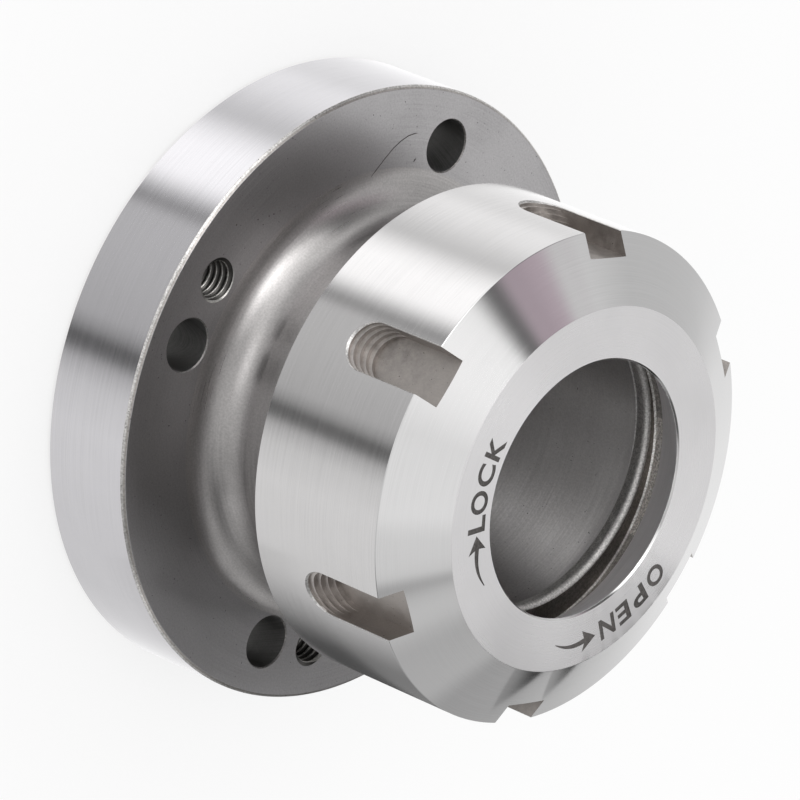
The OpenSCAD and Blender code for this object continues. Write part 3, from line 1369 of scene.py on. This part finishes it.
RINGS = (
    Ring(-1.0, -0.58, (
        Band(-180, 0.86), Band(-160, 1.04), Band(-148, 1.20), Band(-128, 1.30), Band(-105, 1.10),
        Band(-82, 0.98), Band(-72, 1.18), Band(-60, 1.10), Band(-49, 0.88), Band(-41, 0.72), Band(-31, 1.30),
        Band(-24, 1.50), Band(-9, 1.45), Band(-5, 1.08), Band(-1, 0.58), Band(3, 0.28), Band(8, 0.66),
        Band(27, 0.62), Band(50, 0.54), Band(55, 0.36), Band(59, 0.10), Band(63, 0.15), Band(67, 0.54),
        Band(75, 0.80), Band(91, 0.92), Band(127, 0.85), Band(160, 0.82), Band(180, 0.86))),
    Ring(-0.42, -0.04, (
        Band(-180, 0.56), Band(-157, 0.62), Band(-150, 0.74), Band(-141, 0.94), Band(-126, 0.92),
        Band(-118, 0.75), Band(-108, 0.66), Band(-60, 0.85), Band(-25, 1.10), Band(0, 0.70), Band(50, 0.75),
        Band(100, 0.72), Band(160, 0.52), Band(180, 0.56))),
    Ring(0.18, 0.36, (
        Band(-180, 0.44), Band(-160, 0.54), Band(-140, 0.80), Band(-109, 0.68), Band(-95, 0.66),
        Band(-83, 0.80), Band(-60, 0.30), Band(-38, 0.20), Band(-28, 1.20), Band(0, 1.30), Band(25, 1.15),
        Band(38, 1.70), Band(54, 1.70), Band(66, 0.90), Band(100, 0.62), Band(125, 0.26), Band(148, 0.26),
        Band(165, 0.40), Band(180, 0.44))),
    Ring(0.46, 0.60, (
        *LEFT_WALL, Band(-83, 0.80), Band(-70, 0.45, MAUVE), Band(-58, 0.16), Band(-39, 0.14),
        Band(-32, 1.60), Band(0, 1.80), Band(14, 1.15), Band(28, 1.10), Band(36, 0.62), Band(79, 0.80),
        Band(108, 0.60), Band(122, 0.12), Band(145, 0.12), Band(162, 0.54), Band(180, 0.60))),
    Ring(0.70, 0.79, (
        *LEFT_WALL, Band(-83, 0.82), Band(-76, 0.76), Band(-72, 0.53, MAUVE), Band(-60, 0.40, MAUVE),
        Band(-55, 0.14), Band(-39, 0.14), Band(-31, 2.00), Band(-19, 3.20), Band(0, 3.00), Band(14, 1.30),
        Band(28, 1.10), Band(36, 0.62), Band(79, 0.80), Band(108, 0.60), Band(122, 0.24), Band(143, 0.24),
        Band(150, 0.66), *BACK_WALL)),
    Ring(0.83, 0.89, (
        *LEFT_WALL, Band(-83, 0.82), Band(-76, 0.76), Band(-72, 0.53, MAUVE), Band(-60.5, 0.47, MAUVE),
        Band(-58.5, 0.24), Band(-57, 0.11), Band(-54, 0.10), Band(-52.8, 0.30), Band(-50.5, 0.78),
        Band(-47, 1.15), Band(-26, 1.15), Band(-18, 5.60), Band(0, 4.80), Band(14, 2.00), Band(28, 1.25),
        Band(36, 0.66), Band(79, 0.70), Band(112, 0.62), Band(130, 0.88), Band(139, 0.85), *BACK_WALL)),
    Ring(0.93, 1.0, (Band(-180, 1.05), Band(-20, 1.22), Band(60, 0.98), Band(180, 1.05))),
)


# Painted shade: these boards show only in the steel's reflections and block no light. They stand in for the
# shaded surroundings round the chuck.
@dataclass(frozen=True)
class ShadeFlag:
    """A dark board beside the chuck that only the steel mirrors, in millimetres and degrees.

    Attributes:
        name: The board's name.
        reach: Its distance from the axis.
        start: Azimuth where it begins.
        full: Azimuth where it is as dark as it gets.
        end: Azimuth where it ends.
        low: Height of its lower edge.
        high: Height of its upper edge.
        edge_level: Brightness where it begins.
        level: Brightness of its dark part.
    """

    name: str
    reach: float
    start: float
    full: float
    end: float
    low: float
    high: float
    edge_level: float
    level: float


# Painted shade in the steel's reflections, darker in the middle of each board and lighter at its start.
SHADE_FLAGS = (
    ShadeFlag("low_shade_flag", 56.0, 104.0, 154.0, 192.0, -6.0, 9.0, 0.74, 0.08),
    ShadeFlag("middle_shade_flag", 56.0, 104.0, 150.0, 192.0, 9.0, 30.0, 0.84, 0.24),
    ShadeFlag("high_shade_flag", 72.0, 172.0, 180.0, 193.0, 59.0, 118.0, 0.34, 0.03),
    ShadeFlag("temple_shade_flag", 72.0, 184.0, 190.0, 202.0, 50.0, 60.5, 0.40, 0.06),
    ShadeFlag("brow_shade_flag", 72.0, 193.0, 194.0, 216.0, 62.0, 88.0, 0.03, 0.03),
)


@dataclass
class Studio:
    """The floor, the backdrop, the soft light and the camera.

    Attributes:
        bench: Where its boards are made.
        floor_half: Half the floor's width, in metres.
        floor_drop: How far the floor lies under the flange, in millimetres.
        floor_grey: Level of the floor's matt part.
        floor_glow: Share of the floor that is plain white, which keeps its shadow soft.
        flag_steps: Steps of a flag's curve.
    """

    bench: Bench
    floor_half: float = 3.0
    floor_drop: float = 0.02
    floor_grey: float = 0.96
    floor_glow: float = 0.70
    flag_steps: int = 24

    @staticmethod
    def bands(tree: Tree, turn: bpy.types.NodeSocket, bands: Sequence[Band]) -> bpy.types.NodeSocket:
        """A ring of soft bands by direction.

        Args:
            tree: The world's tree.
            turn: Azimuth as a share of a full turn.
            bands: The bands in order.

        Returns:
            The colour.
        """
        ramp = tree.add("ValToRGB")
        stops = ramp.color_ramp.elements
        stops[0].position, stops[1].position = 0.0, 1.0
        stops[0].color = rgba(bands[0].tint, bands[0].level)
        stops[1].color = rgba(bands[-1].tint, bands[-1].level)
        for band in bands[1:-1]:
            stop = stops.new((band.azimuth + 180) / 360)
            stop.color = rgba(band.tint, band.level)
        tree.plug(turn, ramp.inputs[0])
        return ramp.outputs[0]

    @staticmethod
    def azimuth(tree: Tree, place: bpy.types.NodeSocket) -> tuple[bpy.types.NodeSocket, bpy.types.NodeSocket]:
        """The azimuth of a place, as a share of a full turn from -180 degrees, and its height.

        Args:
            tree: The tree.
            place: The place or direction.

        Returns:
            The share and the height.
        """
        split = tree.add("SeparateXYZ")
        tree.plug(place, split.inputs[0])
        x, y, z = split.outputs
        return tree.maths("MULTIPLY_ADD", tree.maths("ARCTAN2", y, x), 1 / FULL_TURN, 0.5), z

    def world(self) -> None:
        """Lights the object from all round, white behind and in soft bands where the steel mirrors it."""
        world = bpy.data.worlds.new("soft_studio")
        bpy.context.scene.world = world
        world.use_nodes = True
        world.cycles.sampling_method = "NONE"
        tree = Tree(world.node_tree)
        turn, height = self.azimuth(tree, tree.add("TexCoord").outputs["Generated"])
        mirrored = self.bands(tree, turn, RINGS[0].bands)
        for below, above in zip(RINGS, RINGS[1:]):
            rise = tree.ramp(height, below.high, above.low)
            mirrored = tree.mix(rise, mirrored, self.bands(tree, turn, above.bands))
        path = tree.add("LightPath")
        seen = tree.mix(path.outputs["Is Glossy Ray"], rgba((1, 1, 1)), mirrored)
        background = tree.add("Background")
        tree.plug(seen, background.inputs["Color"])
        output = tree.add("OutputWorld")
        tree.plug(background.outputs[0], output.inputs["Surface"])

    def flag(self, flag: ShadeFlag) -> None:
        """Stands a dark board beside the chuck, which the camera and the floor don't see.

        Args:
            flag: The board.
        """
        # The board paints shade into the steel's reflections and casts no shadow.
        board = self.bench.draw([Vector((flag.reach, 0, flag.low)), Vector((flag.reach, 0, flag.high))])
        self.bench.alone(board)
        bpy.ops.object.modifier_add(type="SCREW")
        screw = board.modifiers[-1]
        screw.angle = math.radians(flag.end - flag.start)
        screw.steps = screw.render_steps = self.flag_steps
        bpy.ops.object.modifier_apply(modifier=screw.name)
        board.rotation_euler.z = math.radians(flag.start)
        self.bench.join([board])
        board.name = flag.name
        tree = self.glowing(board)
        turned = tree.add("VectorRotate", rotation_type="Z_AXIS")
        tree.plug(tree.add("TexCoord").outputs["Object"], turned.inputs["Vector"])
        turned.inputs["Angle"].default_value = -math.radians(flag.start)
        turn, _ = self.azimuth(tree, turned.outputs[0])
        level = tree.ramp(turn, 0.5, 0.5 + (flag.full - flag.start) / 360, flag.edge_level, flag.level)
        tree.plug(level, tree.tree.nodes["Emission"].inputs["Strength"])

    @staticmethod
    def glowing(board: bpy.types.Object) -> Tree:
        """Gives a board a glow of its own that only the steel mirrors.

        Args:
            board: The board.

        Returns:
            The tree of its material.
        """
        material = bpy.data.materials.new(board.name)
        material.use_nodes = True
        tree = Tree(material.node_tree)
        # The glow is a painted reflection: only the steel's reflections show it.
        glow = tree.add("Emission")
        output = tree.add("OutputMaterial")
        tree.plug(glow.outputs[0], output.inputs["Surface"])
        board.data.materials.append(material)
        board.visible_camera = board.visible_diffuse = False
        board.visible_shadow = board.visible_transmission = False
        return tree

    def under_shade_board(self) -> None:
        """Closes the through bore from below with a dark round board."""
        # Painted shade: a dark board that only the steel mirrors, standing in for the shade under the chuck
        # seen through the bore.
        radius, drop, level, sides = 27.0, 0.3, 0.05, 48
        bpy.ops.object.select_all(action="DESELECT")
        bpy.ops.mesh.primitive_circle_add(
            vertices=sides, radius=radius * MM, fill_type="NGON", location=(0, 0, -drop * MM))
        board = bpy.context.active_object
        self.bench.join([board])
        board.name = "under_shade_board"
        tree = self.glowing(board)
        tree.tree.nodes["Emission"].inputs["Strength"].default_value = level

    def floor(self) -> None:
        """A plain pale floor that keeps a soft shadow and isn't there from below."""
        bpy.ops.object.select_all(action="DESELECT")
        bpy.ops.mesh.primitive_plane_add(size=2 * self.floor_half, location=(0, 0, -self.floor_drop * MM))
        floor = bpy.context.active_object
        floor.name = "floor"
        bpy.ops.object.transform_apply(location=True)
        material = bpy.data.materials.new("pale_floor")
        material.use_nodes = True
        tree = Tree(material.node_tree)
        matt = tree.add("BsdfDiffuse")
        matt.inputs["Color"].default_value = rgba((1, 1, 1), self.floor_grey)
        glow = tree.add("Emission")
        glow.inputs["Color"].default_value = rgba((1, 1, 1))
        pale = tree.add("MixShader")
        pale.inputs[0].default_value = self.floor_glow
        tree.plug(matt.outputs[0], pale.inputs[1])
        tree.plug(glow.outputs[0], pale.inputs[2])
        clear = tree.add("BsdfTransparent")
        sides = tree.add("MixShader")
        tree.plug(tree.add("NewGeometry").outputs["Backfacing"], sides.inputs[0])
        tree.plug(pale.outputs[0], sides.inputs[1])
        tree.plug(clear.outputs[0], sides.inputs[2])
        output = tree.add("OutputMaterial")
        tree.plug(sides.outputs[0], output.inputs["Surface"])
        floor.data.materials.append(material)
        floor.visible_glossy = False

    def camera(self) -> None:
        """Sets the camera at the photograph's angle."""
        azimuth, elevation, roll = 40.98, 39.80, 112.52
        distance, lens, sensor = 906.2, 328.07, 36
        near, far = 0.01, 100
        target = Vector((0.944, -1.087, 20.41))
        back = Euler((0, -math.radians(elevation), math.radians(azimuth))).to_matrix() @ Vector((1, 0, 0))
        bpy.ops.object.select_all(action="DESELECT")
        bpy.ops.object.camera_add(location=(target + back * distance) * MM)
        camera = bpy.context.active_object
        camera.rotation_mode = "QUATERNION"
        upright = (-back).to_track_quat("-Z", "Y").to_matrix()
        camera.rotation_quaternion = (upright @ Matrix.Rotation(math.radians(roll), 3, "Z")).to_quaternion()
        camera.data.lens = lens
        camera.data.sensor_width = sensor
        camera.data.clip_start, camera.data.clip_end = near, far
        bpy.context.scene.camera = camera


def main() -> None:
    """Builds the chuck's two pieces, the studio and the camera."""
    logging.basicConfig(level=logging.INFO, format="%(message)s")
    bpy.context.scene.view_settings.view_transform = "Standard"
    bench = Bench(Finishes())
    made = (
        (ChuckBody(bench).build(), "chuck_body", "chuck", "body_steel"),
        (ClampingNut(bench).build(), "clamping_nut", "nut", "nut_steel"),
    )
    for piece, node, body, slot in made:
        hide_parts(node)
        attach(piece, body)
        LOG.info("%s stands for %s on %s, %d faces", piece.name, node, body, len(piece.data.polygons))
    studio = Studio(bench)
    studio.world()
    studio.floor()
    for flag in SHADE_FLAGS:
        studio.flag(flag)
    studio.under_shade_board()
    studio.camera()


if __name__ == "__main__":
    main()
